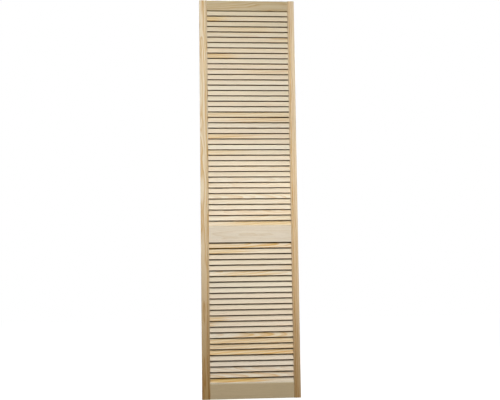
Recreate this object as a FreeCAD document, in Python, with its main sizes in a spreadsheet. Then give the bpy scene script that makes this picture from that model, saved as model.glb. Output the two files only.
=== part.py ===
import FreeCAD, Part
import math
import os
import Sketcher

# Driving sizes of one louvred leaf and of the hinges that join it to its twin, in millimetres and degrees.
sizes = {
    "leaf_width": 488,
    "leaf_thickness": 25,
    "outer_stile_width": 40,
    "fold_stile_width": 34,
    "stile_edge_round": 2,
    "stile_back_round": 1.5,
    "bead_width": 11,
    "bead_quirk": 3.6,
    "bead_drop": 4,
    "bead_swell": 3.6,
    "bottom_rail_height": 77.8,
    "middle_rail_height": 83.3,
    "top_rail_height": 50.5,
    "rail_back_inset": 1.5,
    "rail_edge_round": 1,
    "rail_seat_round": 4,
    "lower_slat_count": 25,
    "upper_slat_count": 40,
    "slats_per_group": 5,
    "slat_pitch": 27.75,
    "slat_width": 30,
    "slat_thickness": 6,
    "slat_edge_round": 0.8,
    "slat_round_limit_share": 0.48,
    "slat_tilt": 25,
    "slat_seat_depth": 3.2,
    "slat_gap_above": 0.5,
    "mortise_depth": 8,
    "mortise_clearance": 0.15,
    "slat_end_gap": 0.5,
    "dowel_diameter": 8,
    "dowel_length": 36,
    "dowel_clearance": 0.1,
    "dowel_end_gap": 1,
    "dowel_spacing_share": 0.5,
    "pivot_bore_diameter": 9.5,
    "pivot_bore_depth": 45,
    "pivot_setback": 13,
    "fold_axis_offset": 1,
    "hinge_height": 70,
    "hinge_inset": 180,
    "hinge_plate_width": 24,
    "hinge_plate_thickness": 1.2,
    "hinge_plate_round": 4,
    "knuckle_count": 5,
    "knuckle_gap": 0.4,
    "knuckle_face_clearance": 0.3,
    "knuckle_edge_clearance": 0.5,
    "hinge_pin_diameter": 2.4,
    "hinge_pin_clearance": 0.05,
    "hinge_pin_cap_height": 1,
    "screw_end_distance": 11,
    "screw_length": 16,
    "screw_point_length": 4,
    "screw_head_diameter": 5.8,
    "screw_shank_diameter": 3,
    "screw_clearance": 0.05,
    "screw_recess_length": 3.2,
    "screw_recess_width": 0.8,
    "screw_recess_depth": 0.7,
}

doc = FreeCAD.newDocument("bifold_louvre_door")
sheet = doc.addObject("Spreadsheet::Sheet", "Sizes")
for row, (alias, number) in enumerate(sizes.items(), start=1):
    sheet.set(f"A{row}", alias)
    sheet.set(f"B{row}", str(number))
    sheet.setAlias(f"B{row}", alias)
doc.recompute()

# The front leaf stands with its outer stile's pivot bore on the Z axis and its moulded face towards -Y.
leaf_left = "-Sizes.pivot_setback"
leaf_right = "(Sizes.leaf_width - Sizes.pivot_setback)"
left_joint = "(Sizes.outer_stile_width - Sizes.pivot_setback)"
right_joint = "(Sizes.leaf_width - Sizes.pivot_setback - Sizes.fold_stile_width)"
clear_width = "(Sizes.leaf_width - Sizes.outer_stile_width - Sizes.fold_stile_width)"
front_face = "(-Sizes.leaf_thickness / 2)"
back_face = "(Sizes.leaf_thickness / 2)"

# Rails lie flush with the inner end of the bead in front and a little inside the stiles behind.
rail_depth = "(Sizes.leaf_thickness - Sizes.bead_drop - Sizes.rail_back_inset)"
rail_middle = "((Sizes.bead_drop - Sizes.rail_back_inset) / 2)"

# Each field of slats is as high as its leaning slats need.
tilt = "(Sizes.slat_tilt * 1 deg)"
slat_round = "min(Sizes.slat_edge_round; Sizes.slat_thickness * Sizes.slat_round_limit_share)"
flat_rise = f"(Sizes.slat_width - 2 * {slat_round}) * cos{tilt}"
edge_rise = f"(Sizes.slat_thickness - 2 * {slat_round}) * sin{tilt}"
slat_rise = f"({flat_rise} + {edge_rise} + 2 * {slat_round})"
field_slack = f"({slat_rise} - Sizes.slat_pitch - Sizes.slat_seat_depth + Sizes.slat_gap_above)"
lower_floor = "Sizes.bottom_rail_height"
lower_top = f"({lower_floor} + Sizes.lower_slat_count * Sizes.slat_pitch + {field_slack})"
upper_floor = f"({lower_top} + Sizes.middle_rail_height)"
upper_top = f"({upper_floor} + Sizes.upper_slat_count * Sizes.slat_pitch + {field_slack})"
leaf_height = f"({upper_top} + Sizes.top_rail_height)"
slat_reach = "(Sizes.mortise_depth - Sizes.slat_end_gap)"

# The fold axis stands just outside the leaf's edge, in a gap that the rolled knuckles need.
knuckle_bore = "(Sizes.hinge_pin_diameter / 2 + Sizes.hinge_pin_clearance)"
knuckle_radius = f"({knuckle_bore} + Sizes.hinge_plate_thickness)"
fold_x = f"({leaf_right} + Sizes.fold_axis_offset)"
fold_y = f"({back_face} + Sizes.knuckle_face_clearance + {knuckle_radius})"
knuckle_length = (
    "((Sizes.hinge_height - (Sizes.knuckle_count - 1) * Sizes.knuckle_gap) / Sizes.knuckle_count)"
)
plate_edge = f"({fold_x} - {knuckle_radius} - Sizes.knuckle_edge_clearance)"
plate_far = f"({fold_x} - Sizes.hinge_plate_width)"
screw_x = f"(({plate_edge} + {plate_far}) / 2)"
screw_spacing = "(Sizes.hinge_height / 2 - Sizes.screw_end_distance)"
hinge_step = f"({leaf_height} / 2 - Sizes.hinge_inset)"
hinge_middles = {
    "bottom": "Sizes.hinge_inset",
    "middle": f"({leaf_height} / 2)",
    "top": f"({leaf_height} - Sizes.hinge_inset)",
}


def value(expression):
    return float(sheet.evalExpression(expression))


def origin_feature(body, role):
    return next(feature for feature in body.Origin.OriginFeatures if feature.Role == role)


def new_body(label):
    body = doc.addObject("PartDesign::Body", label)
    body.Label = label
    return body


# A sketch on one of the body's own planes, moved by named sizes along that plane's own axes.
def new_sketch(body, name, role, along_x="0", along_y="0", along_normal="0"):
    sketch = body.newObject("Sketcher::SketchObject", name)
    sketch.AttachmentSupport = [(origin_feature(body, role), "")]
    sketch.MapMode = "FlatFace"
    for letter, expression in zip("xyz", (along_x, along_y, along_normal)):
        sketch.setExpression(f"AttachmentOffset.Base.{letter}", expression)
    return sketch


def drive(sketch, constraint, expression):
    index = sketch.addConstraint(constraint)
    sketch.setExpression(f"Constraints[{index}]", expression)


def pin_point(sketch, geometry, vertex, across, up):
    drive(sketch, Sketcher.Constraint("DistanceX", geometry, vertex, value(across)), across)
    drive(sketch, Sketcher.Constraint("DistanceY", geometry, vertex, value(up)), up)


# A closed outline, counterclockwise: each corner gives its place and the radius of a round to the next.
def draw_outline(sketch, corners):
    spots = [FreeCAD.Vector(value(across), value(up), 0) for across, up, radius in corners]
    edges = []
    for index, (across, up, radius) in enumerate(corners):
        begin, end = spots[index], spots[(index + 1) % len(spots)]
        if radius is None:
            edges.append(sketch.addGeometry(Part.LineSegment(begin, end), False))
        else:
            chord = end - begin
            depth = math.sqrt(value(radius) ** 2 - (chord.Length / 2) ** 2)
            inward = FreeCAD.Vector(-chord.y, chord.x, 0).normalize()
            middle = (begin + end) / 2 + inward * depth
            circle = Part.Circle(middle, FreeCAD.Vector(0, 0, 1), value(radius))
            angles = [math.atan2(spot.y - middle.y, spot.x - middle.x) for spot in (begin, end)]
            edges.append(sketch.addGeometry(Part.ArcOfCircle(circle, *angles), False))
    for index, edge in enumerate(edges):
        following = edges[(index + 1) % len(edges)]
        sketch.addConstraint(Sketcher.Constraint("Coincident", edge, 2, following, 1))
    for edge, (across, up, radius) in zip(edges, corners):
        pin_point(sketch, edge, 1, across, up)
        if radius is not None:
            drive(sketch, Sketcher.Constraint("Radius", edge, value(radius)), radius)


def draw_circle(sketch, across, up, radius):
    middle = FreeCAD.Vector(value(across), value(up), 0)
    circle = Part.Circle(middle, FreeCAD.Vector(0, 0, 1), value(radius))
    geometry = sketch.addGeometry(circle, False)
    drive(sketch, Sketcher.Constraint("Radius", geometry, value(radius)), radius)
    pin_point(sketch, geometry, 3, across, up)


# Corners of a rectangle with rounded corners, leaning clockwise by an angle about its middle.
def rounded_rectangle(across, up, half_width, half_height, radius, lean="0 deg"):
    inner_width = f"({half_width} - {radius})"
    inner_height = f"({half_height} - {radius})"
    square = [
        (f"-{inner_width}", f"-{half_height}", None),
        (inner_width, f"-{half_height}", radius),
        (half_width, f"-{inner_height}", None),
        (half_width, inner_height, radius),
        (inner_width, half_height, None),
        (f"-{inner_width}", half_height, radius),
        (f"-{half_width}", inner_height, None),
        (f"-{half_width}", f"-{inner_height}", radius),
    ]
    return [
        (
            f"{across} + ({right}) * cos({lean}) + ({high}) * sin({lean})",
            f"{up} - ({right}) * sin({lean}) + ({high}) * cos({lean})",
            bend,
        )
        for right, high, bend in square
    ]


def pad(body, sketch, length):
    feature = body.newObject("PartDesign::Pad", "pad")
    feature.Profile = sketch
    feature.setExpression("Length", length)
    doc.recompute()
    return feature


# A pocket runs against its sketch's normal unless it is turned round, and has to take wood or metal away.
def pocket(body, sketch, depth, turned=False):
    before = body.Shape.Volume
    feature = body.newObject("PartDesign::Pocket", "pocket")
    feature.Profile = sketch
    feature.Reversed = turned
    feature.setExpression("Length", depth)
    doc.recompute()
    if not body.Shape.Volume < before:
        raise RuntimeError(f"{body.Label}: {sketch.Label} takes nothing away")
    return feature


def revolve(body, kind, sketch):
    feature = body.newObject(f"PartDesign::{kind}", kind.lower())
    feature.Profile = sketch
    feature.ReferenceAxis = (sketch, ["V_Axis"])
    doc.recompute()
    return feature


# Copies of features in a row along one of the body's axes.
def row_of(body, features, role, step, count):
    pattern = body.newObject("PartDesign::LinearPattern", "row")
    pattern.Originals = features
    pattern.Direction = (origin_feature(body, role), [""])
    pattern.Mode = "Spacing"
    pattern.setExpression("Offset", step)
    pattern.setExpression("Occurrences", count)
    body.Tip = pattern
    doc.recompute()
    return pattern


# Cross-section of a stile, measured from its outer edge: a flat, a quirk, a bead and a plain back.
def stile_section(outer_edge, width, hand):
    bead_start = f"({width} - Sizes.bead_width)"
    bead_floor = f"({front_face} + Sizes.bead_quirk)"
    bead_end = f"({front_face} + Sizes.bead_drop)"
    bead_chord = "(pow(Sizes.bead_width; 2) + pow(Sizes.bead_drop - Sizes.bead_quirk; 2))"
    bead_radius = f"({bead_chord} / (8 * Sizes.bead_swell) + Sizes.bead_swell / 2)"
    corners = [
        ("Sizes.stile_edge_round", front_face, None),
        (bead_start, front_face, None),
        (bead_start, bead_floor, bead_radius),
        (width, bead_end, None),
        (width, f"({back_face} - Sizes.stile_back_round)", "Sizes.stile_back_round"),
        (f"({width} - Sizes.stile_back_round)", back_face, None),
        ("Sizes.stile_edge_round", back_face, "Sizes.stile_edge_round"),
        ("0", f"({back_face} - Sizes.stile_edge_round)", None),
        ("0", f"({front_face} + Sizes.stile_edge_round)", "Sizes.stile_edge_round"),
    ]
    if hand < 0:
        corners = [
            (corners[index][0], corners[index][1], corners[index - 1][2])
            for index in reversed(range(len(corners)))
        ]
    return [(f"{outer_edge} + {hand} * {inward}", depth, radius) for inward, depth, radius in corners]


# Outline of one slat, or of its mortise when it is grown by a clearance.
def slat_outline(floor, growth="0"):
    middle = f"({floor} - Sizes.slat_seat_depth + {slat_rise} / 2)"
    half_thickness = f"(Sizes.slat_thickness / 2 + {growth})"
    half_width = f"(Sizes.slat_width / 2 + {growth})"
    radius = f"({slat_round} + {growth})"
    return rounded_rectangle(rail_middle, middle, half_thickness, half_width, radius, tilt)


rail_floors = {"bottom": "0", "middle": lower_top, "top": upper_top}


# Dowels stand in pairs, spread over each rail's height.
def draw_dowels(sketch, radius, rails):
    for name in rails:
        height = f"Sizes.{name}_rail_height"
        for side in (-1, 1):
            up = f"({rail_floors[name]} + {height} / 2 + {side} * {height} * Sizes.dowel_spacing_share / 2)"
            draw_circle(sketch, rail_middle, up, radius)


dowel_hole_radius = "(Sizes.dowel_diameter / 2 + Sizes.dowel_clearance)"
dowel_hole_depth = "(Sizes.dowel_length / 2 + Sizes.dowel_end_gap)"


# A stile before its mortises are cut; hand is 1 where its inner edge faces +X and -1 where it faces -X.
def make_stile(label, outer_edge, width, joint, hand):
    body = new_body(label)
    section = new_sketch(body, "section", "XY_Plane")
    draw_outline(section, stile_section(outer_edge, width, hand))
    pad(body, section, leaf_height)
    holes = new_sketch(body, "dowel_holes", "YZ_Plane", along_normal=joint)
    draw_dowels(holes, dowel_hole_radius, rail_floors)
    pocket(body, holes, dowel_hole_depth, turned=hand < 0)
    return body


def cut_mortises(body, joint, hand):
    for field, floor in (("lower", lower_floor), ("upper", upper_floor)):
        mortise = new_sketch(body, f"{field}_mortise", "YZ_Plane", along_normal=joint)
        draw_outline(mortise, slat_outline(floor, "Sizes.mortise_clearance"))
        cut = pocket(body, mortise, "Sizes.mortise_depth", turned=hand < 0)
        row_of(body, [cut], "Z_Axis", "Sizes.slat_pitch", f"Sizes.{field}_slat_count")


def make_outer_stile(label):
    body = make_stile(label, leaf_left, "Sizes.outer_stile_width", left_joint, 1)
    for end, height in (("bottom", "0"), ("top", leaf_height)):
        bore = new_sketch(body, f"{end}_pivot_bore", "XY_Plane", along_normal=height)
        draw_circle(bore, "0", "0", "(Sizes.pivot_bore_diameter / 2)")
        pocket(body, bore, "Sizes.pivot_bore_depth", turned=end == "bottom")
    cut_mortises(body, left_joint, 1)
    return body


def make_fold_stile(label):
    body = make_stile(label, leaf_right, "Sizes.fold_stile_width", right_joint, -1)
    pilot_radius = "(Sizes.screw_shank_diameter / 2 + Sizes.screw_clearance)"
    pilots = new_sketch(body, "screw_pilots", "XZ_Plane", along_normal=f"-{back_face}")
    for middle in hinge_middles.values():
        for place in (-1, 0, 1):
            draw_circle(pilots, screw_x, f"({middle} + {place} * {screw_spacing})", pilot_radius)
    pocket(body, pilots, "Sizes.screw_length", turned=True)
    cut_mortises(body, right_joint, -1)
    return body


# Cross-section of a rail; its upper front edge has a round of its own.
def rail_section(low, high, upper_round):
    front = f"({rail_middle} - {rail_depth} / 2)"
    back = f"({rail_middle} + {rail_depth} / 2)"
    bend = "Sizes.rail_edge_round"
    return [
        (f"({front} + {bend})", low, None),
        (f"({back} - {bend})", low, bend),
        (back, f"({low} + {bend})", None),
        (back, f"({high} - {bend})", bend),
        (f"({back} - {bend})", high, None),
        (f"({front} + {upper_round})", high, upper_round),
        (front, f"({high} - {upper_round})", None),
        (front, f"({low} + {bend})", bend),
    ]


# The bottom and middle rails are rounded and notched on top, where the lowest slat of a field is seated.
def make_rail(label, name):
    body = new_body(label)
    low = rail_floors[name]
    high = f"({low} + Sizes.{name}_rail_height)"
    seats_slat = name != "top"
    section = new_sketch(body, "section", "YZ_Plane", along_normal=left_joint)
    upper_round = "Sizes.rail_seat_round" if seats_slat else "Sizes.rail_edge_round"
    draw_outline(section, rail_section(low, high, upper_round))
    pad(body, section, clear_width)
    if seats_slat:
        seat = new_sketch(body, "slat_seat", "YZ_Plane", along_normal=left_joint)
        draw_outline(seat, slat_outline(high, "Sizes.mortise_clearance"))
        pocket(body, seat, clear_width, turned=True)
    for side, joint in (("left", left_joint), ("right", right_joint)):
        holes = new_sketch(body, f"{side}_dowel_holes", "YZ_Plane", along_normal=joint)
        draw_dowels(holes, dowel_hole_radius, [name])
        pocket(body, holes, dowel_hole_depth, turned=side == "left")
    return body


def make_dowels(label):
    body = new_body(label)
    start = f"({left_joint} - Sizes.dowel_length / 2)"
    ends = new_sketch(body, "dowel_ends", "YZ_Plane", along_normal=start)
    draw_dowels(ends, "(Sizes.dowel_diameter / 2)", rail_floors)
    sticks = pad(body, ends, "Sizes.dowel_length")
    row_of(body, [sticks], "X_Axis", clear_width, "2")
    return body


# A few neighbouring slats of one field, counted from the bottom.
def make_slats(label, field, floor, first):
    body = new_body(label)
    start = f"({left_joint} - {slat_reach})"
    section = new_sketch(body, "section", "YZ_Plane", along_normal=start)
    draw_outline(section, slat_outline(f"({floor} + {first} * Sizes.slat_pitch)"))
    slat = pad(body, section, f"({clear_width} + 2 * {slat_reach})")
    count = f"min(Sizes.slats_per_group; Sizes.{field}_slat_count - {first})"
    row_of(body, [slat], "Z_Axis", "Sizes.slat_pitch", count)
    return body


# A hinge plate lies on the fold stile's back and rolls into every second knuckle, from the given one up.
def make_hinge_plate(label, middle, first_knuckle):
    body = new_body(label)
    outer_face = f"({back_face} + Sizes.hinge_plate_thickness)"
    low = f"({middle} - Sizes.hinge_height / 2)"
    high = f"({middle} + Sizes.hinge_height / 2)"
    bend = "Sizes.hinge_plate_round"
    flat = new_sketch(body, "flat", "XZ_Plane", along_normal=f"-{outer_face}")
    corners = [
        (f"({plate_far} + {bend})", low, None),
        (plate_edge, low, None),
        (plate_edge, high, None),
        (f"({plate_far} + {bend})", high, bend),
        (plate_far, f"({high} - {bend})", None),
        (plate_far, f"({low} + {bend})", bend),
    ]
    draw_outline(flat, corners)
    pad(body, flat, "Sizes.hinge_plate_thickness")

    knuckle_step = f"({knuckle_length} + Sizes.knuckle_gap)"
    start = f"({low} + {first_knuckle} * {knuckle_step})"
    roll = new_sketch(body, "roll", "XY_Plane", along_normal=start)
    drop = f"({fold_y} - {outer_face})"
    roll_join = f"({fold_x} - sqrt(pow({knuckle_radius}; 2) - pow({drop}; 2)))"
    corners = [
        (plate_edge, back_face, None),
        (fold_x, back_face, None),
        (fold_x, f"({fold_y} - {knuckle_radius})", knuckle_radius),
        (f"({fold_x} + {knuckle_radius})", fold_y, knuckle_radius),
        (fold_x, f"({fold_y} + {knuckle_radius})", knuckle_radius),
        (roll_join, outer_face, None),
        (plate_edge, outer_face, None),
    ]
    draw_outline(roll, corners)
    draw_circle(roll, fold_x, fold_y, knuckle_bore)
    knuckle = pad(body, roll, knuckle_length)
    count = f"ceil((Sizes.knuckle_count - {first_knuckle}) / 2)"
    row_of(body, [knuckle], "Z_Axis", f"(2 * {knuckle_step})", count)

    lowest_screw = f"({middle} - {screw_spacing})"
    sink = new_sketch(body, "countersink", "XY_Plane", screw_x, outer_face, lowest_screw)
    mouth = "(Sizes.screw_head_diameter / 2 + Sizes.screw_clearance)"
    throat = "(Sizes.screw_shank_diameter / 2 + Sizes.screw_clearance)"
    corners = [
        ("0", "-Sizes.hinge_plate_thickness", None),
        (throat, "-Sizes.hinge_plate_thickness", None),
        (mouth, "0", None),
        ("0", "0", None),
    ]
    draw_outline(sink, corners)
    cut = revolve(body, "Groove", sink)
    row_of(body, [cut], "Z_Axis", screw_spacing, "3")
    return body


def make_hinge_pin(label, middle):
    body = new_body(label)
    profile = new_sketch(body, "profile", "XZ_Plane", fold_x, middle, f"-{fold_y}")
    shaft = "(Sizes.hinge_pin_diameter / 2)"
    half = "(Sizes.hinge_height / 2)"
    tip = f"({half} + Sizes.hinge_pin_cap_height)"
    corners = [
        ("0", f"-{tip}", None),
        (knuckle_radius, f"-{tip}", None),
        (knuckle_radius, f"-{half}", None),
        (shaft, f"-{half}", None),
        (shaft, half, None),
        (knuckle_radius, half, None),
        (knuckle_radius, tip, None),
        ("0", tip, None),
    ]
    draw_outline(profile, corners)
    revolve(body, "Revolution", profile)
    return body


# Countersunk screws, flush with the plates, three to a plate.
def make_screws(label):
    body = new_body(label)
    outer_face = f"({back_face} + Sizes.hinge_plate_thickness)"
    lowest = f"({hinge_middles['bottom']} - {screw_spacing})"
    profile = new_sketch(body, "profile", "XY_Plane", screw_x, outer_face, lowest)
    shank = "(Sizes.screw_shank_diameter / 2)"
    tip = "-Sizes.screw_length"
    corners = [
        ("0", tip, None),
        (shank, f"({tip} + Sizes.screw_point_length)", None),
        (shank, "-Sizes.hinge_plate_thickness", None),
        ("(Sizes.screw_head_diameter / 2)", "0", None),
        ("0", "0", None),
    ]
    draw_outline(profile, corners)
    screw = revolve(body, "Revolution", profile)
    recess = new_sketch(body, "recess", "XZ_Plane", screw_x, lowest, f"-{outer_face}")
    arm = "(Sizes.screw_recess_length / 2)"
    side = "(Sizes.screw_recess_width / 2)"
    quarter = [(arm, f"-{side}"), (arm, side), (side, side)]
    cross = []
    for turn in range(4):
        cross += [(across, up, None) for across, up in quarter]
        quarter = [(f"-{up}", across) for across, up in quarter]
    draw_outline(recess, cross)
    cut = pocket(body, recess, "Sizes.screw_recess_depth", turned=True)
    plate_row = row_of(body, [screw, cut], "Z_Axis", screw_spacing, "3")
    plate_row.Direction2 = (origin_feature(body, "Z_Axis"), [""])
    plate_row.Mode2 = "Spacing"
    plate_row.setExpression("Offset2", hinge_step)
    plate_row.setExpression("Occurrences2", "3")
    doc.recompute()
    return body


# The rear leaf is the front leaf's mirror image, folded flat behind it.
def mirror_behind(source, label):
    twin = doc.addObject("Part::Mirroring", label)
    twin.Label = label
    twin.Source = source
    twin.Normal = FreeCAD.Vector(0, 1, 0)
    twin.setExpression("Base.y", fold_y)
    return twin


leaf_parts = {
    "outer_stile": make_outer_stile("front_outer_stile"),
    "fold_stile": make_fold_stile("front_fold_stile"),
    "rail_dowels": make_dowels("front_rail_dowels"),
    "hinge_screws": make_screws("front_hinge_screws"),
}
for name in rail_floors:
    leaf_parts[f"{name}_rail"] = make_rail(f"front_{name}_rail", name)
for field, floor in (("lower", lower_floor), ("upper", upper_floor)):
    firsts = range(0, int(value(f"Sizes.{field}_slat_count")), int(value("Sizes.slats_per_group")))
    for group, first in enumerate(firsts, start=1):
        name = f"{field}_slats_{group}"
        leaf_parts[name] = make_slats(f"front_{name}", field, floor, first)

nodes = list(leaf_parts.values())
nodes += [mirror_behind(source, f"rear_{name}") for name, source in leaf_parts.items()]
for name, middle in hinge_middles.items():
    nodes.append(make_hinge_plate(f"{name}_hinge_front_plate", middle, 0))
    nodes.append(make_hinge_pin(f"{name}_hinge_pin", middle))
    unturned_plate = make_hinge_plate(f"{name}_hinge_unturned_plate", middle, 1)
    nodes.append(mirror_behind(unturned_plate, f"{name}_hinge_rear_plate"))
doc.recompute()

failed = [item.Label for item in doc.Objects if {"Invalid", "Error"} & set(item.State)]
failed += [node.Label for node in nodes if node.Shape.isNull() or not node.Shape.isValid()]
if failed:
    raise RuntimeError(f"failed objects: {failed}")

os.makedirs("parts", exist_ok=True)
for node in nodes:
    node.Shape.exportStep(f"parts/{node.Label}.step")
print(f"leaf height {value(leaf_height):.2f} mm, {len(nodes)} nodes")
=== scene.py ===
import math

import bmesh
import bpy
from mathutils import Matrix, Vector


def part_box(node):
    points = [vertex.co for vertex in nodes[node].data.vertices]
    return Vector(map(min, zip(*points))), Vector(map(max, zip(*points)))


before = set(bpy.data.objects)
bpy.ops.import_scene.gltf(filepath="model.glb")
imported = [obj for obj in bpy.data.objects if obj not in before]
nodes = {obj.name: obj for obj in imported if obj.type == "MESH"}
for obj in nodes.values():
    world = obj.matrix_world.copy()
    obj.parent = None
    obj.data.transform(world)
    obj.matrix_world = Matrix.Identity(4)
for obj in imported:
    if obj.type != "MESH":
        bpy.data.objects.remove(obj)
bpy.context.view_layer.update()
scene = bpy.context.scene
print("frame loaded:", len(nodes), "pieces of the folded pair")


def srgb(red, green, blue):  # 0 to 255, as a colour picker shows it
    def linear(value):
        share = value / 255
        return share / 12.92 if share <= 0.04045 else ((share + 0.055) / 1.055) ** 2.4
    return (linear(red), linear(green), linear(blue), 1.0)


def wire(tree, socket, value):
    if isinstance(value, bpy.types.NodeSocket):
        tree.links.new(value, socket)
    else:
        socket.default_value = value


def put(tree, kind, given=None, **settings):
    node = tree.nodes.new("ShaderNode" + kind)
    for name, value in settings.items():
        setattr(node, name, value)
    for name, value in (given or {}).items():
        wire(tree, node.inputs[name], value)
    return node


def maths(tree, operation, *values):
    return put(tree, "Math", dict(enumerate(values)), operation=operation).outputs[0]


def rise(tree, value, start, end):  # 0 before start, 1 after end
    given = {"Value": value, "From Min": start, "From Max": end}
    return put(tree, "MapRange", given, interpolation_type="SMOOTHSTEP").outputs[0]


def span(tree, value, low, high):  # 0..1 spread over low..high
    return put(tree, "MapRange", {"Value": value, "To Min": low, "To Max": high}).outputs[0]


def mixValue(tree, factor, first, second):
    return put(tree, "Mix", {0: factor, 2: first, 3: second}, data_type="FLOAT").outputs[0]


def mixColour(tree, factor, first, second, blend="MIX"):
    given = {0: factor, 6: first, 7: second}
    return put(tree, "Mix", given, data_type="RGBA", blend_type=blend).outputs[2]


def splitAxes(tree, vector):
    return put(tree, "SeparateXYZ", {0: vector}).outputs


def joinAxes(tree, x, y, z):
    return put(tree, "CombineXYZ", {0: x, 1: y, 2: z}).outputs[0]


def stretch(tree, vector, scale):
    return put(tree, "VectorMath", {0: vector, 1: scale}, operation="MULTIPLY").outputs[0]


def cloudy(tree, vector, seed, detail=2.0):
    given = {"Vector": vector, "W": seed, "Scale": 1.0, "Detail": detail, "Roughness": 0.55}
    return put(tree, "TexNoise", given, noise_dimensions="4D").outputs[0]


def greyRamp(tree, value, stops):  # stops are places and greys
    node = put(tree, "ValToRGB", {0: value})
    node.color_ramp.interpolation = "EASE"
    elements = node.color_ramp.elements
    while len(elements) < len(stops):
        elements.new(1.0)
    for element, (spot, grey) in zip(elements, stops):
        element.position = spot
        element.color = (grey, grey, grey, 1.0)
    return node.outputs[0]


def newGroup(name, inputs, outputs):
    tree = bpy.data.node_groups.new(name, "ShaderNodeTree")
    for socketName in inputs:
        kind = "NodeSocketVector" if socketName == "Vector" else "NodeSocketFloat"
        tree.interface.new_socket(socketName, in_out="INPUT", socket_type=kind)
    for socketName in outputs:
        kind = "NodeSocketVector" if socketName == "Vector" else "NodeSocketFloat"
        tree.interface.new_socket(socketName, in_out="OUTPUT", socket_type=kind)
    return tree, tree.nodes.new("NodeGroupInput").outputs, tree.nodes.new("NodeGroupOutput").inputs


def place(tree, group, given):
    node = tree.nodes.new("ShaderNodeGroup")
    node.node_tree = group
    for name, value in given.items():
        wire(tree, node.inputs[name], value)
    return node.outputs


def newMaterial(name):
    material = bpy.data.materials.new(name)
    material.use_nodes = True
    return material, material.node_tree, material.node_tree.nodes["Principled BSDF"].inputs


# Board coordinates, used by every pine piece: X along the grain, Y through the thickness, Z across the face.
ringSettings = {
    "waverStretch": (4.5, 26.0, 26.0),   # how fast the trunk wanders, per metre
    "widthStretch": 95.0,                # how fast ring widths change, per metre of radius
    "widthShare": 0.9,                   # by how much of a ring
    "faintest": 0.45,                    # late wood of the faintest ring
    # one ring from the pith outwards: early wood darkens slowly into late wood, which ends sharply
    "profile": [(0.0, 0.5), (0.07, 0.06), (0.4, 0.04), (0.72, 0.5), (0.92, 1.0), (1.0, 0.55)],
}


def makeGrowthRings():
    cut = ringSettings
    names = ["Vector", "Seed", "Pith Across", "Pith Depth", "Lean Across", "Lean Depth", "Bow",
             "Ring Width", "Waver"]
    tree, given, result = newGroup("growthRings", names, ["Late Wood"])
    along, depth, across = splitAxes(tree, given["Vector"])
    pithAcross = maths(tree, "MULTIPLY_ADD", along, given["Lean Across"], given["Pith Across"])
    pithDepth = maths(tree, "MULTIPLY_ADD", along, given["Lean Depth"], given["Pith Depth"])
    pithDepth = maths(tree, "MULTIPLY_ADD", maths(tree, "MULTIPLY", along, along), given["Bow"], pithDepth)
    fromPith = joinAxes(
        tree, maths(tree, "SUBTRACT", across, pithAcross), maths(tree, "SUBTRACT", depth, pithDepth), 0.0)
    radius = put(tree, "VectorMath", {0: fromPith}, operation="LENGTH").outputs["Value"]
    wander = cloudy(tree, stretch(tree, given["Vector"], cut["waverStretch"]), given["Seed"])
    wander = maths(tree, "MULTIPLY", maths(tree, "SUBTRACT", wander, 0.5), given["Waver"])
    radius = maths(tree, "MULTIPLY_ADD", wander, 2.0, radius)  # up to Waver inwards or outwards
    drift = put(tree, "TexNoise", {
        "W": maths(tree, "MULTIPLY_ADD", radius, cut["widthStretch"], given["Seed"]),
        "Scale": 1.0, "Detail": 1.0}, noise_dimensions="1D").outputs[0]
    count = maths(tree, "DIVIDE", radius, given["Ring Width"])
    count = maths(tree, "MULTIPLY_ADD", drift, cut["widthShare"], count)
    ring = maths(tree, "ADD", maths(tree, "FLOOR", count), given["Seed"])
    ringTone = put(tree, "TexWhiteNoise", {"W": ring}, noise_dimensions="1D").outputs[0]
    late = greyRamp(tree, maths(tree, "FRACT", count), cut["profile"])
    strength = span(tree, ringTone, cut["faintest"], 1.0)
    wire(tree, result["Late Wood"], maths(tree, "MULTIPLY", late, strength))
    return tree


fibreSettings = {
    "fibreStretch": (16.0, 800.0, 800.0),     # hair lines along the grain
    "fibreDetail": 3.0,
    "canalStretch": (55.0, 1500.0, 1500.0),   # short resin canals
    "canalDetail": 0.0,
    "canalFrom": 0.68,
    "canalTo": 0.76,
    "toneStretch": (1.4, 12.0, 12.0),         # slow change of tone in a board
}


def makePineFibre():
    cut = fibreSettings
    tree, given, result = newGroup("pineFibre", ["Vector", "Seed"], ["Fibre", "Canals", "Tone"])
    board, seed = given["Vector"], given["Seed"]
    fibre = cloudy(tree, stretch(tree, board, cut["fibreStretch"]), seed, cut["fibreDetail"])
    canals = cloudy(tree, stretch(tree, board, cut["canalStretch"]), seed, cut["canalDetail"])
    tone = cloudy(tree, stretch(tree, board, cut["toneStretch"]), seed)
    wire(tree, result["Fibre"], fibre)
    wire(tree, result["Canals"], rise(tree, canals, cut["canalFrom"], cut["canalTo"]))
    wire(tree, result["Tone"], tone)
    return tree


rubSettings = {"patchStretch": (9.0, 60.0, 60.0), "patchFrom": 0.36, "patchTo": 0.62}


def makeEdgeRub():  # long edges that hands and packing have rubbed
    cut = rubSettings
    names = ["Vector", "Seed", "Half Across", "Half Depth", "Reach"]
    tree, given, result = newGroup("edgeRub", names, ["Rub"])
    axes = splitAxes(tree, given["Vector"])
    near = []
    for value, half in ((axes["Z"], given["Half Across"]), (axes["Y"], given["Half Depth"])):
        inside = maths(tree, "SUBTRACT", half, given["Reach"])
        near.append(rise(tree, maths(tree, "ABSOLUTE", value), inside, half))
    patches = cloudy(tree, stretch(tree, given["Vector"], cut["patchStretch"]), given["Seed"])
    patches = rise(tree, patches, cut["patchFrom"], cut["patchTo"])
    wire(tree, result["Rub"], maths(tree, "MULTIPLY", maths(tree, "MULTIPLY", *near), patches))
    return tree


growthRings = makeGrowthRings()
pineFibre = makePineFibre()
edgeRub = makeEdgeRub()

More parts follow.
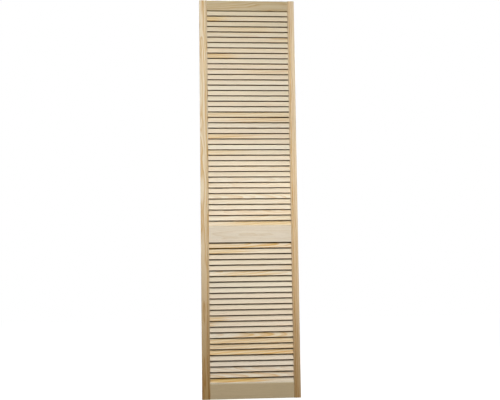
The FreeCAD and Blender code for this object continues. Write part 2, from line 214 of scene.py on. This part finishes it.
pineSettings = {
    "toneShift": 0.14,                       # slow darkening within a board
    "fibreShift": 0.14,
    "canalColour": srgb(150, 108, 66),
    "canalShare": 0.22,
    "rubColour": srgb(178, 150, 112),
    "rubShare": 0.15,
    "rubReach": 0.0022,
    "endColour": srgb(176, 140, 96),
    "endShare": 0.55,
    # painted shade: darkens recesses, joints and edges under overhanging parts
    "grimeColour": srgb(108, 94, 80),
    # painted highlight on the rails' rounded upper edges
    "highlightColour": srgb(250, 236, 206),
    "footShadeColour": srgb(212, 187, 146),       # painted shade, darker and browner towards the floor
    "goldenColour": srgb(255, 245, 208),
    "roughLow": 0.5,
    "roughHigh": 0.72,
    # roughness where the painted shade lies
    "roughInShade": 1.0,
    "lateGloss": 0.5,                        # late wood is smoother than early wood
    "fibreHeight": 0.5,
    "lateHeight": 0.6,                       # late wood stands proud
    "canalDepth": 0.5,
    "bumpDistance": 0.00025,
    "bumpStrength": 0.4,
    "specular": 0.2,
}


def swing(tree, value, reach):  # 0..1 turned into a factor about 1
    return maths(tree, "MULTIPLY_ADD", maths(tree, "SUBTRACT", value, 0.5), 2 * reach, 1.0)


def finishPine(tree, shader, board, look):
    cut = pineSettings
    seed = look["seed"]
    rings = place(tree, growthRings, {
        "Vector": board, "Seed": seed,
        "Pith Across": look["pithAcross"], "Pith Depth": look["pithDepth"],
        "Lean Across": look["leanAcross"], "Lean Depth": look["leanDepth"],
        "Bow": look.get("bow", 0.0), "Ring Width": look["ringWidth"], "Waver": look["waver"]})
    fibre = place(tree, pineFibre, {"Vector": board, "Seed": seed})
    rub = place(tree, edgeRub, {
        "Vector": board, "Seed": seed, "Half Across": look["halfAcross"],
        "Half Depth": look["halfDepth"], "Reach": cut["rubReach"]})["Rub"]
    late = maths(tree, "POWER", rings["Late Wood"], look.get("sharpness", 1.0))
    late = maths(tree, "MULTIPLY", late, look["contrast"])
    colour = mixColour(tree, late, look["early"], look["late"])
    shade = swing(tree, fibre["Tone"], cut["toneShift"])
    shade = maths(tree, "MULTIPLY", shade, swing(tree, fibre["Fibre"], cut["fibreShift"]))
    colour = mixColour(tree, 1.0, colour, joinAxes(tree, shade, shade, shade), "MULTIPLY")
    canals = maths(tree, "MULTIPLY", fibre["Canals"], cut["canalShare"])
    colour = mixColour(tree, canals, colour, cut["canalColour"])
    rub = maths(tree, "MULTIPLY", rub, look.get("rubShare", cut["rubShare"]))
    colour = mixColour(tree, rub, colour, cut["rubColour"])
    if "halfAlong" in look:  # sawn ends drink more and look darker
        along = maths(tree, "ABSOLUTE", splitAxes(tree, board)[0])
        sawnEnd = maths(tree, "GREATER_THAN", along, look["halfAlong"] - look["endSkin"])
        sawnEnd = maths(tree, "MULTIPLY", sawnEnd, cut["endShare"])
        colour = mixColour(tree, sawnEnd, colour, cut["endColour"], "MULTIPLY")
    # painted shade: darker and browner towards the floor
    if "footShade" in look:
        colour = mixColour(tree, look["footShade"], colour, cut["footShadeColour"], "MULTIPLY")
    if "golden" in look:  # resin that has gathered in a groove
        colour = mixColour(tree, look["golden"], colour, cut["goldenColour"], "MULTIPLY")
    if "paintedHighlight" in look:  # painted highlight on upper edges that face the light
        colour = mixColour(tree, look["paintedHighlight"], colour, cut["highlightColour"])
    if "grime" in look:  # painted shade in recesses and joints, under rails and under slat noses
        colour = mixColour(tree, look["grime"], colour, cut["grimeColour"], "MULTIPLY")
    wire(tree, shader["Base Color"], colour)
    rough = maths(tree, "MULTIPLY_ADD", rings["Late Wood"], -cut["lateGloss"], fibre["Fibre"])
    rough = span(tree, rough, cut["roughLow"], cut["roughHigh"])
    # matt where the painted shade lies
    if "grime" in look:
        rough = mixValue(tree, look["grime"], rough, cut["roughInShade"])
    wire(tree, shader["Roughness"], rough)
    height = maths(tree, "MULTIPLY", rings["Late Wood"], cut["lateHeight"])
    height = maths(tree, "MULTIPLY_ADD", fibre["Fibre"], cut["fibreHeight"], height)
    height = maths(tree, "MULTIPLY_ADD", fibre["Canals"], -cut["canalDepth"], height)
    bump = put(tree, "Bump", {
        "Height": height, "Distance": cut["bumpDistance"], "Strength": cut["bumpStrength"]})
    wire(tree, shader["Normal"], bump.outputs[0])
    shader["Specular IOR Level"].default_value = cut["specular"]


def boardPlace(tree, low, high, turn=(0, 0, 0), scale=(1, 1, 1)):
    middle = (low + high) / 2
    objectPlace = put(tree, "TexCoord").outputs["Object"]
    given = {"Vector": objectPlace, "Location": middle, "Rotation": turn, "Scale": scale}
    return put(tree, "Mapping", given, vector_type="TEXTURE").outputs[0]


def dress(node, material):
    for holder in nodes[node].material_slots:
        holder.material = material


# Painted shade: a stile darkens and browns towards the floor, starting at its given height in metres above
# the floor.
stileLooks = {
    "front_outer_stile": {"seed": 3.1, "pithAcross": 0.012, "pithDepth": 0.03, "leanAcross": 0.006,
                          "leanDepth": 0.006, "ringWidth": 0.0045, "waver": 0.009, "contrast": 1.0,
                          "early": srgb(232, 216, 186), "late": srgb(201, 158, 90),
                          "footShade": 1.0, "footShadeHeight": 1.15, "gold": 0.3},
    "front_fold_stile": {"seed": 8.7, "pithAcross": 0.03, "pithDepth": 0.026, "leanAcross": 0.004,
                         "leanDepth": -0.003, "ringWidth": 0.0052, "waver": 0.009, "contrast": 1.0,
                         "early": srgb(233, 213, 180), "late": srgb(199, 156, 95),
                         "footShade": 0.79, "footShadeHeight": 1.35, "gold": 0.7},
    "rear_outer_stile": {"seed": 12.4, "pithAcross": -0.02, "pithDepth": -0.035, "leanAcross": -0.003,
                         "leanDepth": 0.005, "ringWidth": 0.006, "waver": 0.009, "contrast": 0.8,
                         "early": srgb(230, 212, 181), "late": srgb(203, 163, 105),
                         "footShade": 0.6, "footShadeHeight": 1.15, "gold": 0.3},
    "rear_fold_stile": {"seed": 17.9, "pithAcross": 0.006, "pithDepth": -0.028, "leanAcross": 0.002,
                        "leanDepth": -0.006, "ringWidth": 0.0065, "waver": 0.012, "contrast": 0.85,
                        "early": srgb(230, 212, 182), "late": srgb(204, 165, 106),
                        "footShade": 0.7, "footShadeHeight": 1.25, "gold": 0.5},
}
# Reaches are measured from the stile's inner edge.
stileWear = {
    "endSkin": 0.0001,               # how deep the darker sawn end reaches
    "beadShadeReach": 0.011,              # painted shade along the bead, darkest at the joint with the slats
    "beadShadeShare": 0.2,
    "quirkRise": (0.0135, 0.0105),   # the groove beside the bead is more golden
    "quirkFall": (0.0085, 0.0055),
}


def dressStiles():
    cut = stileWear
    for name, look in stileLooks.items():
        low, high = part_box(name)
        half = (high - low) / 2
        inner = -1.0 if "outer" in name else 1.0  # side of the stile that holds the slats
        material, tree, shader = newMaterial(name + "_pine")
        board = boardPlace(tree, low, high, turn=(0, -math.pi / 2, 0))
        axes = splitAxes(tree, board)
        # painted shade, growing towards the floor
        height = maths(tree, "DIVIDE", maths(tree, "ADD", axes["X"], half.z), look["footShadeHeight"])
        footShade = maths(tree, "MAXIMUM", maths(tree, "SUBTRACT", 1.0, height), 0.0)
        inwards = maths(tree, "MULTIPLY", axes["Z"], inner)
        quirk = rise(tree, inwards, *(half.x - reach for reach in cut["quirkRise"]))
        bead = rise(tree, inwards, *(half.x - reach for reach in cut["quirkFall"]))
        # painted shade along the bead, darkest at the stile's inner edge
        edge = rise(tree, inwards, half.x - cut["beadShadeReach"], half.x)
        quirk = maths(tree, "MULTIPLY", maths(tree, "SUBTRACT", quirk, bead), look["gold"])
        finishPine(tree, shader, board, {
            **look, "golden": quirk,
            "footShade": maths(tree, "MULTIPLY", footShade, look["footShade"]),
            "grime": maths(tree, "MULTIPLY", edge, cut["beadShadeShare"]),
            "halfAcross": half.x, "halfDepth": half.y, "halfAlong": half.z, "endSkin": cut["endSkin"]})
        dress(name, material)
    print("stiles dressed:", len(stileLooks))


railLooks = {
    "front_top_rail": {"seed": 22.2, "pithAcross": -0.02, "pithDepth": 0.03, "leanAcross": 0.11,
                       "leanDepth": 0.02, "ringWidth": 0.008, "waver": 0.012, "contrast": 0.95,
                       "early": srgb(199, 182, 147), "late": srgb(175, 137, 75)},
    "front_middle_rail": {"seed": 27.5, "pithAcross": -0.004, "pithDepth": 0.02, "leanAcross": 0.0,
                          "leanDepth": -0.008, "bow": 0.2, "ringWidth": 0.006, "waver": 0.011,
                          "contrast": 0.36, "early": srgb(224, 211, 190), "late": srgb(202, 175, 127)},
    "front_bottom_rail": {"seed": 31.8, "pithAcross": 0.09, "pithDepth": 0.03, "leanAcross": 0.01,
                          "leanDepth": 0.01, "ringWidth": 0.0028, "waver": 0.003, "contrast": 0.3,
                          "early": srgb(215, 194, 156), "late": srgb(197, 165, 117)},
    "rear_top_rail": {"seed": 36.1, "pithAcross": 0.02, "pithDepth": -0.03, "leanAcross": -0.03,
                      "leanDepth": 0.02, "ringWidth": 0.006, "waver": 0.008, "contrast": 0.6,
                      "early": srgb(222, 204, 172), "late": srgb(202, 166, 112)},
    "rear_middle_rail": {"seed": 41.3, "pithAcross": 0.01, "pithDepth": -0.02, "leanAcross": 0.02,
                         "leanDepth": -0.03, "bow": -0.3, "ringWidth": 0.006, "waver": 0.006,
                         "contrast": 0.5, "early": srgb(226, 211, 186), "late": srgb(204, 170, 118)},
    "rear_bottom_rail": {"seed": 46.6, "pithAcross": -0.05, "pithDepth": -0.03, "leanAcross": 0.02,
                         "leanDepth": 0.01, "ringWidth": 0.0035, "waver": 0.004, "contrast": 0.4,
                         "early": srgb(229, 210, 176), "late": srgb(206, 174, 126)},
}
railWear = {
    "shadeReach": 0.002,                                     # painted shade under the lower edge of a rail
    "shadeShare": {"top": 0.3, "middle": 0.9, "bottom": 0.0},
    "highlightReach": 0.006,                                     # painted highlight on its rounded upper edge
    "highlightShare": {"top": 0.0, "middle": 0.4, "bottom": 0.9},
}


def dressRails():
    cut = railWear
    for name, look in railLooks.items():
        rail = name.split("_")[1]
        low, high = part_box(name)
        half = (high - low) / 2
        material, tree, shader = newMaterial(name + "_pine")
        board = boardPlace(tree, low, high)
        across = splitAxes(tree, board)[2]
        # painted shade under the rail's lower edge
        below = maths(tree, "MULTIPLY", across, -1.0)
        shadeBand = rise(tree, below, half.z - cut["shadeReach"], half.z)
        shadeBand = maths(tree, "MULTIPLY", shadeBand, cut["shadeShare"][rail])
        # painted highlight on the rail's upper edge
        paintedHighlight = rise(tree, across, half.z - cut["highlightReach"], half.z)
        paintedHighlight = maths(tree, "MULTIPLY", paintedHighlight, cut["highlightShare"][rail])
        finishPine(tree, shader, board, {
            **look, "grime": shadeBand, "paintedHighlight": paintedHighlight, "halfAcross": half.z, "halfDepth": half.y})
        dress(name, material)
    print("rails dressed:", len(railLooks))


# Slats that show amber figure, counted from the bottom of their field: how strong it is, where along
# the slat it is strongest (0 at the outer stile, 1 at the fold stile), its reach as a share of the length,
# and 0 for flames or 1 for straight streaks.
slatFigures = {
    "front_upper": {38: (0.9, 0.0, 0.3, 0.6), 36: (0.35, 0.5, 0.4, 0.8), 34: (0.4, 0.95, 0.3, 0.2),
                    31: (0.8, 0.05, 0.4, 0.6), 28: (0.45, 0.75, 0.4, 0.3), 20: (0.62, 0.4, 1.3, 0.6),
                    19: (0.5, 0.9, 0.9, 0.4), 16: (0.6, 0.0, 0.7, 0.7), 13: (0.4, 0.1, 0.5, 0.8),
                    5: (0.4, 0.5, 1.3, 0.0), 2: (0.3, 0.8, 0.6, 0.0), 1: (0.4, 0.75, 0.6, 0.3),
                    0: (0.7, 0.7, 0.6, 1.0)},
    "front_lower": {24: (0.92, 0.3, 1.3, 0.1), 23: (0.8, 0.15, 0.5, 0.7), 20: (0.55, 1.0, 0.2, 0.5),
                    19: (0.85, 0.5, 0.6, 0.3), 11: (0.75, 0.08, 0.2, 0.6), 10: (0.7, 0.0, 0.12, 0.6),
                    8: (1.0, 0.75, 0.7, 0.1), 7: (0.8, 0.5, 1.3, 0.9), 6: (0.72, 0.6, 1.3, 1.0),
                    5: (0.88, 0.4, 1.3, 1.0), 2: (0.4, 0.6, 0.6, 0.0), 1: (0.65, 0.35, 0.9, 0.0),
                    0: (1.1, 0.28, 0.6, 0.9)},
    "rear_upper": {3: (0.6, 0.3, 0.5, 0.2), 9: (0.8, 0.6, 0.5, 0.8), 17: (0.5, 0.2, 0.4, 0.0),
                   26: (0.9, 0.7, 0.5, 0.5), 33: (0.6, 0.4, 0.4, 0.3)},
    "rear_lower": {2: (0.7, 0.6, 0.5, 0.4), 8: (0.9, 0.3, 0.6, 0.1), 15: (0.6, 0.8, 0.4, 0.9),
                   21: (0.8, 0.5, 0.6, 0.2)},
}
slatSettings = {
    "groupSize": 5,                             # slats in one CAD node
    "lean": 25.0,                               # degrees from upright
    "slatWidth": 0.03,
    "slatThickness": 0.006,
    "firstSeed": 50.0,
    "fieldSeed": 40.0,                          # from field to field
    "slatSeed": 3.7,                            # from slat to slat
    "plainEarly": srgb(234, 221, 193),
    "paleEarly": srgb(237, 229, 208),
    "pinkEarly": srgb(236, 217, 190),
    "pinkShare": 0.7,
    "topTintEarly": srgb(229, 217, 181),         # uppermost slats are yellower and darker
    "topTintFrom": 28,
    "topTintShare": 0.35,
    "paintedLightEarly": srgb(250, 237, 214),       # painted light: the lowest slats are paler
    "paintedLightBelow": 15,
    "paintedLightShare": 0.9,
    # painted light: gold and amber of the lowest slats are paler too
    "paintedLightGold": srgb(248, 212, 136),
    "paintedLightLate": srgb(231, 172, 76),
    "goldEarly": srgb(233, 202, 133),
    "goldShare": (0.2, 0.75),                   # golden early wood in flames and in straight streaks
    "goldPower": {"upper": 1.3, "lower": 3.0},  # how soon a faint figure turns golden
    "plainLate": srgb(218, 186, 142),
    "figuredLate": srgb(205, 155, 62),
    "figuredSharpness": 0.7,                    # under 1 widens the late wood
    "plainContrast": 0.42,
    "figuredContrast": 1.0,
    "plainPith": (0.05, 0.1),                   # far pith: straight fine lines
    "flamePith": (0.014, 0.026),                # near pith: broad flames
    "plainSide": 0.16,                          # how far to the side the pith can lie
    "flameSide": 0.02,
    "streakSide": 0.06,
    "plainRing": 0.0024,
    "flameRing": 0.007,
    "streakRing": 0.013,
    "plainWaver": 0.0035,
    "figuredWaver": 0.006,
    "plainLean": (0.05, 0.05),                  # how the trunk leans across and into the slat
    "flameLean": (0.05, 0.24),
    "streakLean": (0.1, 0.01),
    "figuredFrom": (0.1, 0.3),                  # a slat counts as figured from these strengths on
    "figureFade": (0.25, 1.2),                  # the figure thins out over these shares of its reach
    "sapEdge": (-0.47, -0.22),                  # pale lower edge of the lowest slat, in slat widths
    "rubShare": 0.2,
    # where painted shade starts and where it is full, below a slat's upper edge
    "grimeAbove": {"upper": (0.0045, 0.0), "lower": (0.008, 0.003)},
    "grimeUnderRail": (0.0075, 0.0035),         # the same painted shadow on the slat under the middle rail
    "grimeAboveShare": 0.85,
    # painted shade on each slat's lower edge
    "grimeBelow": 0.0012,
    "grimeBelowShare": 1.0,
}


def makeSlatPlace():  # each slat's own board coordinates, its number in the field and the painted shade at its edges
    cut = slatSettings
    lean = math.radians(cut["lean"])
    names = ["Vector", "Pitch", "Shade From", "Shade To"]
    tree, given, result = newGroup("slatPlace", names, ["Vector", "Number", "Painted Shade"])
    along, depth, rising = splitAxes(tree, given["Vector"])
    line = maths(tree, "MULTIPLY_ADD", depth, -1 / math.tan(lean), rising)
    number = maths(tree, "ROUND", maths(tree, "DIVIDE", line, given["Pitch"]))
    own = maths(tree, "SUBTRACT", rising, maths(tree, "MULTIPLY", number, given["Pitch"]))
    across = maths(tree, "MULTIPLY", depth, math.sin(lean))
    across = maths(tree, "MULTIPLY_ADD", own, math.cos(lean), across)
    through = maths(tree, "MULTIPLY", depth, math.cos(lean))
    through = maths(tree, "MULTIPLY_ADD", own, -math.sin(lean), through)
    half = cut["slatWidth"] / 2
    # painted shade below a slat's upper edge and on its lower edge
    above = rise(tree, maths(tree, "SUBTRACT", across, half), given["Shade From"], given["Shade To"])
    below = rise(tree, maths(tree, "MULTIPLY", across, -1.0), half - cut["grimeBelow"], half)
    grime = maths(tree, "MULTIPLY_ADD", above, cut["grimeAboveShare"],
                  maths(tree, "MULTIPLY", below, cut["grimeBelowShare"]))
    wire(tree, result["Vector"], joinAxes(tree, along, through, across))
    wire(tree, result["Number"], number)
    wire(tree, result["Painted Shade"], grime)
    return tree


slatPlace = makeSlatPlace()


def figureRamp(tree, number, count, figures):  # one step of a colour ramp for each slat
    steps = put(tree, "ValToRGB", {"Fac": maths(tree, "DIVIDE", maths(tree, "ADD", number, 0.5), count)})
    stops = steps.color_ramp
    stops.interpolation = "CONSTANT"
    plain = (0.0, 0.5, 0.5, 0.0)
    wanted = {0: figures.get(0, plain)}
    for slat in sorted(figures):
        wanted[slat] = figures[slat]
        wanted.setdefault(slat + 1, figures.get(slat + 1, plain))
    stops.elements.remove(stops.elements[1])
    for slat in sorted(wanted):
        stop = stops.elements[0] if slat == 0 else stops.elements.new(slat / count)
        stop.position = slat / count
        stop.color = wanted[slat]
    strength, spot, reach = splitAxes(tree, steps.outputs["Color"])
    return strength, spot, reach, steps.outputs["Alpha"]


def slatBoard(tree, field, groups):  # board coordinates and number of the slat that a point lies on
    size = slatSettings["groupSize"]
    low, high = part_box(groups[0])
    pitch = (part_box(groups[1])[0].z - low.z) / size
    first = Vector((0, 0, (size - 1) / 2 * pitch))
    facing = 1 if field.startswith("front") else -1  # the rear leaf is a mirror image
    centred = boardPlace(tree, low - first, high - first, scale=(1, facing, 1))
    # where the painted shade starts and where it is full
    shadeBand, full = slatSettings["grimeAbove"][field.split("_")[1]]
    given = {"Vector": centred, "Pitch": pitch, "Shade From": -shadeBand, "Shade To": -full}
    return place(tree, slatPlace, given), high.x - low.x


# Strength of the figure at a point, whether its slat is figured at all, and how straight the figure is.
def slatFigure(tree, slat, length, count, figures):
    cut = slatSettings
    axes = splitAxes(tree, slat["Vector"])
    strength, spot, reach, streak = figureRamp(tree, slat["Number"], count, figures)
    share = maths(tree, "ADD", maths(tree, "DIVIDE", axes["X"], length), 0.5)
    away = maths(tree, "ABSOLUTE", maths(tree, "SUBTRACT", share, spot))
    away = maths(tree, "DIVIDE", away, reach)
    window = maths(tree, "SUBTRACT", 1.0, rise(tree, away, *cut["figureFade"]))
    sapEdge = rise(tree, axes["Z"], *(edge * cut["slatWidth"] for edge in cut["sapEdge"]))
    lowest = maths(tree, "LESS_THAN", slat["Number"], 0.5)
    window = maths(tree, "MULTIPLY", window, mixValue(tree, lowest, 1.0, sapEdge))
    isFigured = rise(tree, strength, *cut["figuredFrom"])
    return maths(tree, "MULTIPLY", strength, window), isFigured, streak


def slatRings(tree, chance, isFigured, streak):  # how each slat was sawn from its trunk
    cut = slatSettings
    side, sway, dip = (maths(tree, "SUBTRACT", value, 0.5) for value in chance)

    def either(plain, flame, straight):
        return mixValue(tree, isFigured, plain, mixValue(tree, streak, flame, straight))

    def swayed(value, plain, flame, straight):
        return either(maths(tree, "MULTIPLY", value, plain), maths(tree, "MULTIPLY", value, flame), straight)

    leans = list(zip(cut["plainLean"], cut["flameLean"], cut["streakLean"]))
    farPith = span(tree, chance[1], *cut["plainPith"])
    nearPith = span(tree, chance[1], *cut["flamePith"])
    return {
        "pithAcross": swayed(side, cut["plainSide"], cut["flameSide"], cut["streakSide"]),
        "pithDepth": either(farPith, nearPith, nearPith),
        "leanAcross": swayed(sway, *leans[0]),
        "leanDepth": swayed(dip, *leans[1]),
        "ringWidth": either(cut["plainRing"], cut["flameRing"], cut["streakRing"]),
        "waver": either(cut["plainWaver"], cut["figuredWaver"], cut["figuredWaver"]),
    }


def dressSlats():
    cut = slatSettings
    for order, (field, figures) in enumerate(slatFigures.items()):
        level = field.split("_")[1]
        groups = [name for name in nodes if name.startswith(field + "_slats_")]
        groups.sort(key=lambda name: int(name.split("_")[-1]))
        count = len(groups) * cut["groupSize"]
        material, tree, shader = newMaterial(field + "_slat_pine")
        slat, length = slatBoard(tree, field, groups)
        fieldSeed = cut["firstSeed"] + cut["fieldSeed"] * order
        seed = maths(tree, "MULTIPLY_ADD", slat["Number"], cut["slatSeed"], fieldSeed)
        chance = put(tree, "TexWhiteNoise", {"W": seed}, noise_dimensions="1D").outputs["Color"]
        chance = splitAxes(tree, chance)
        figured, isFigured, streak = slatFigure(tree, slat, length, count, figures)
        early = mixColour(tree, chance[2], cut["plainEarly"], cut["paleEarly"])
        pink = maths(tree, "MULTIPLY", chance[0], cut["pinkShare"])
        early = mixColour(tree, pink, early, cut["pinkEarly"])
        gold, amber, grime = cut["goldEarly"], cut["figuredLate"], slat["Painted Shade"]
        if level == "upper":
            # uppermost slats turn yellower and darker
            topTint = rise(tree, slat["Number"], cut["topTintFrom"], count)
            topTint = maths(tree, "MULTIPLY", topTint, cut["topTintShare"])
            early = mixColour(tree, topTint, early, cut["topTintEarly"])
        else:
            # painted light: the lowest slats are painted paler
            paintedLight = rise(tree, slat["Number"], cut["paintedLightBelow"], 0.0)
            paler = maths(tree, "MULTIPLY", paintedLight, cut["paintedLightShare"])
            early = mixColour(tree, paler, early, cut["paintedLightEarly"])
            gold = mixColour(tree, paintedLight, gold, cut["paintedLightGold"])
            amber = mixColour(tree, paintedLight, amber, cut["paintedLightLate"])
            # painted shadow of the middle rail on the slat under it
            across = splitAxes(tree, slat["Vector"])["Z"]
            fromEdge = maths(tree, "SUBTRACT", across, cut["slatWidth"] / 2)
            underRail = rise(tree, fromEdge, *(-reach for reach in cut["grimeUnderRail"]))
            uppermost = maths(tree, "GREATER_THAN", slat["Number"], count - 1.5)
            grime = maths(tree, "MAXIMUM", grime, maths(tree, "MULTIPLY", underRail, uppermost))
        golden = maths(tree, "POWER", figured, cut["goldPower"][level])
        golden = maths(tree, "MULTIPLY", golden, mixValue(tree, streak, *cut["goldShare"]))
        finishPine(tree, shader, slat["Vector"], {
            **slatRings(tree, chance, isFigured, streak), "seed": seed,
            "contrast": mixValue(tree, figured, cut["plainContrast"], cut["figuredContrast"]),
            "sharpness": mixValue(tree, isFigured, 1.0, cut["figuredSharpness"]),
            "early": mixColour(tree, golden, early, gold),
            "late": mixColour(tree, figured, cut["plainLate"], amber),
            "grime": grime, "rubShare": cut["rubShare"],
            "halfAcross": cut["slatWidth"] / 2, "halfDepth": cut["slatThickness"] / 2})
        for name in groups:
            dress(name, material)
    print("slats dressed:", len(slatFigures), "fields")


dressStiles()
dressRails()
dressSlats()

dowelSettings = {
    "seed": 71.0, "pithAcross": 0.05, "pithDepth": 0.03, "leanAcross": 0.0, "leanDepth": 0.0,
    "ringWidth": 0.0016, "waver": 0.002, "contrast": 0.35, "halfAcross": 1.0, "halfDepth": 1.0,
    "early": srgb(206, 170, 128), "late": srgb(182, 140, 98),
}


def dressDowels():
    material, tree, shader = newMaterial("dowel_beech")
    board = put(tree, "TexCoord").outputs["Object"]
    finishPine(tree, shader, board, dowelSettings)
    for name in ("front_rail_dowels", "rear_rail_dowels"):
        dress(name, material)
    print("dowels dressed")


steelLooks = {
    "hinge_steel": {"seed": 5.0, "bright": srgb(206, 205, 200), "dull": srgb(164, 163, 158),
                    "brush": (900.0, 900.0, 22.0), "spangle": 240.0, "rough": (0.24, 0.46)},
    "screw_steel": {"seed": 9.0, "bright": srgb(212, 205, 186), "dull": srgb(168, 158, 136),
                    "brush": (1500.0, 300.0, 1500.0), "spangle": 600.0, "rough": (0.2, 0.4)},
}
# Shares of zinc spangle and stain in the colour, and of brush lines and stain in the roughness.
steelSettings = {
    "brushDetail": 3.0,
    "stainStretch": (45.0, 45.0, 45.0),
    "stainDetail": 4.0,
    "spangleTone": 0.35,
    "stainTone": 0.65,
    "brushRough": 0.6,
    "stainRough": 0.4,
    "bumpDistance": 0.00006,
    "bumpStrength": 0.35,
}


def dressSteel():
    cut = steelSettings
    for slotName, look in steelLooks.items():
        material, tree, shader = newMaterial(slotName + "_finish")
        board = put(tree, "TexCoord").outputs["Object"]
        brushed = cloudy(tree, stretch(tree, board, look["brush"]), look["seed"], cut["brushDetail"])
        spangle = put(tree, "TexVoronoi", {"Vector": board, "Scale": look["spangle"]}).outputs["Color"]
        spangle = splitAxes(tree, spangle)[0]
        stained = stretch(tree, board, cut["stainStretch"])
        stain = cloudy(tree, stained, look["seed"] + 1.0, cut["stainDetail"])
        tone = maths(tree, "MULTIPLY", stain, cut["stainTone"])
        tone = maths(tree, "MULTIPLY_ADD", spangle, cut["spangleTone"], tone)
        wire(tree, shader["Base Color"], mixColour(tree, tone, look["bright"], look["dull"]))
        shader["Metallic"].default_value = 1.0
        rough = maths(tree, "MULTIPLY", stain, cut["stainRough"])
        rough = maths(tree, "MULTIPLY_ADD", brushed, cut["brushRough"], rough)
        wire(tree, shader["Roughness"], span(tree, rough, *look["rough"]))
        bump = put(tree, "Bump", {
            "Height": brushed, "Distance": cut["bumpDistance"], "Strength": cut["bumpStrength"]})
        wire(tree, shader["Normal"], bump.outputs[0])
        for name, piece in nodes.items():
            if piece.material_slots[0].material.name.split(".")[0] == slotName:
                dress(name, material)
    print("hinges and screws dressed")


dressDowels()
dressSteel()

floorSettings = {"size": 14.0, "colour": (0.2, 0.2, 0.2, 1.0), "near": 0.9, "far": 1.0, "fade": (0.5, 2.0)}


def seenDirectly(tree):  # 1 for what the camera, a mirror or glass sees
    path = put(tree, "LightPath").outputs
    return maths(tree, "MAXIMUM", path["Is Camera Ray"],
                 maths(tree, "MAXIMUM", path["Is Glossy Ray"], path["Is Transmission Ray"]))


def makeFloor():
    shape = bmesh.new()
    bmesh.ops.create_grid(shape, x_segments=2, y_segments=2, size=floorSettings["size"] / 2)
    mesh = bpy.data.meshes.new("paper_floor")
    shape.to_mesh(mesh)
    shape.free()
    floor = bpy.data.objects.new("paper_floor", mesh)
    scene.collection.objects.link(floor)
    material = bpy.data.materials.new("floor_paper")
    material.use_nodes = True
    tree = material.node_tree
    tree.nodes.clear()
    paper = put(tree, "BsdfDiffuse", {"Color": floorSettings["colour"]})
    away = put(tree, "VectorMath", {0: put(tree, "TexCoord").outputs["Object"]}, operation="LENGTH")
    away = rise(tree, away.outputs["Value"], *floorSettings["fade"])  # the shadow shows near the door only
    seen = mixValue(tree, away, floorSettings["near"], floorSettings["far"])
    white = put(tree, "Emission", {"Strength": maths(tree, "MULTIPLY", seenDirectly(tree), seen)})
    both = put(tree, "AddShader", {0: paper.outputs[0], 1: white.outputs[0]})
    put(tree, "OutputMaterial", {"Surface": both.outputs[0]})
    mesh.materials.append(material)


skySettings = {"above": 0.03, "below": 0.02, "horizon": 0.05}


def makeWorld():
    world = bpy.data.worlds.new("studio")
    scene.world = world
    world.use_nodes = True
    tree = world.node_tree
    tree.nodes.clear()
    height = splitAxes(tree, put(tree, "TexCoord").outputs["Generated"])[2]
    upwards = rise(tree, height, -skySettings["horizon"], skySettings["horizon"])
    sky = mixValue(tree, upwards, skySettings["below"], skySettings["above"])
    strength = mixValue(tree, seenDirectly(tree), sky, 1.0)
    background = put(tree, "Background", {"Color": (1, 1, 1, 1), "Strength": strength})
    put(tree, "OutputWorld", {"Surface": background.outputs[0]})


# Soft panels: place across, in depth and in height, height aimed at on the leaf, watts.
panelSettings = {
    "size": (1.2, 0.4),
    "middle": 0.23,
    "panels": {
        "main": (0.0, -2.2, 2.1, 1.6, 40.0),
        "near_high": (0.1, -0.9, 1.7, 0.3, 2.7),
        "near_mid": (0.35, -0.5, 1.1, 0.3, 1.5),
        "near_low": (0.4, -0.5, 0.5, 0.1, 0.9),
        "back_high": (0.2, 2.2, 2.5, 1.2, 32.0),
        "back_low": (0.2, 1.6, 0.9, 0.6, 8.0),
        "left_side": (-1.9, 0.5, 1.5, 1.0, 20.0),
        "right_side": (2.4, 0.5, 1.5, 1.0, 20.0),
        "above": (0.23, 0.4, 3.0, 2.0, 5.0),
    },
}


def makePanels():
    for name, (across, depth, height, aim, watts) in panelSettings["panels"].items():
        light = bpy.data.lights.new(name, "AREA")
        light.shape = "RECTANGLE"
        light.size, light.size_y = panelSettings["size"]
        light.energy = watts
        panel = bpy.data.objects.new(name, light)
        panel.location = (across, depth, height)
        aimed = Vector((panelSettings["middle"], 0, aim)) - panel.location
        panel.rotation_euler = aimed.to_track_quat("-Z", "Y").to_euler()
        panel.visible_camera = False
        scene.collection.objects.link(panel)


cameraSettings = {
    "place": (-0.0698, -4.0632, 0.6087),
    "yaw": -4.3003, "pitch": 5.2604, "roll": -0.7664,
    "lens": 58.354, "sensor": 36.0,
}


def makeCamera():
    lens = bpy.data.cameras.new("photo_camera")
    lens.lens = cameraSettings["lens"]
    lens.sensor_width = cameraSettings["sensor"]
    camera = bpy.data.objects.new("photo_camera", lens)
    yaw, pitch, roll = (math.radians(cameraSettings[angle]) for angle in ("yaw", "pitch", "roll"))
    turn = Matrix.Rotation(yaw, 4, "Z") @ Matrix.Rotation(math.pi / 2 + pitch, 4, "X")
    turn = turn @ Matrix.Rotation(roll, 4, "Z")
    camera.matrix_world = Matrix.Translation(cameraSettings["place"]) @ turn
    scene.collection.objects.link(camera)
    scene.camera = camera


makeFloor()
makeWorld()
makePanels()
makeCamera()
scene.view_settings.view_transform = "Standard"
print("floor, light and camera set")
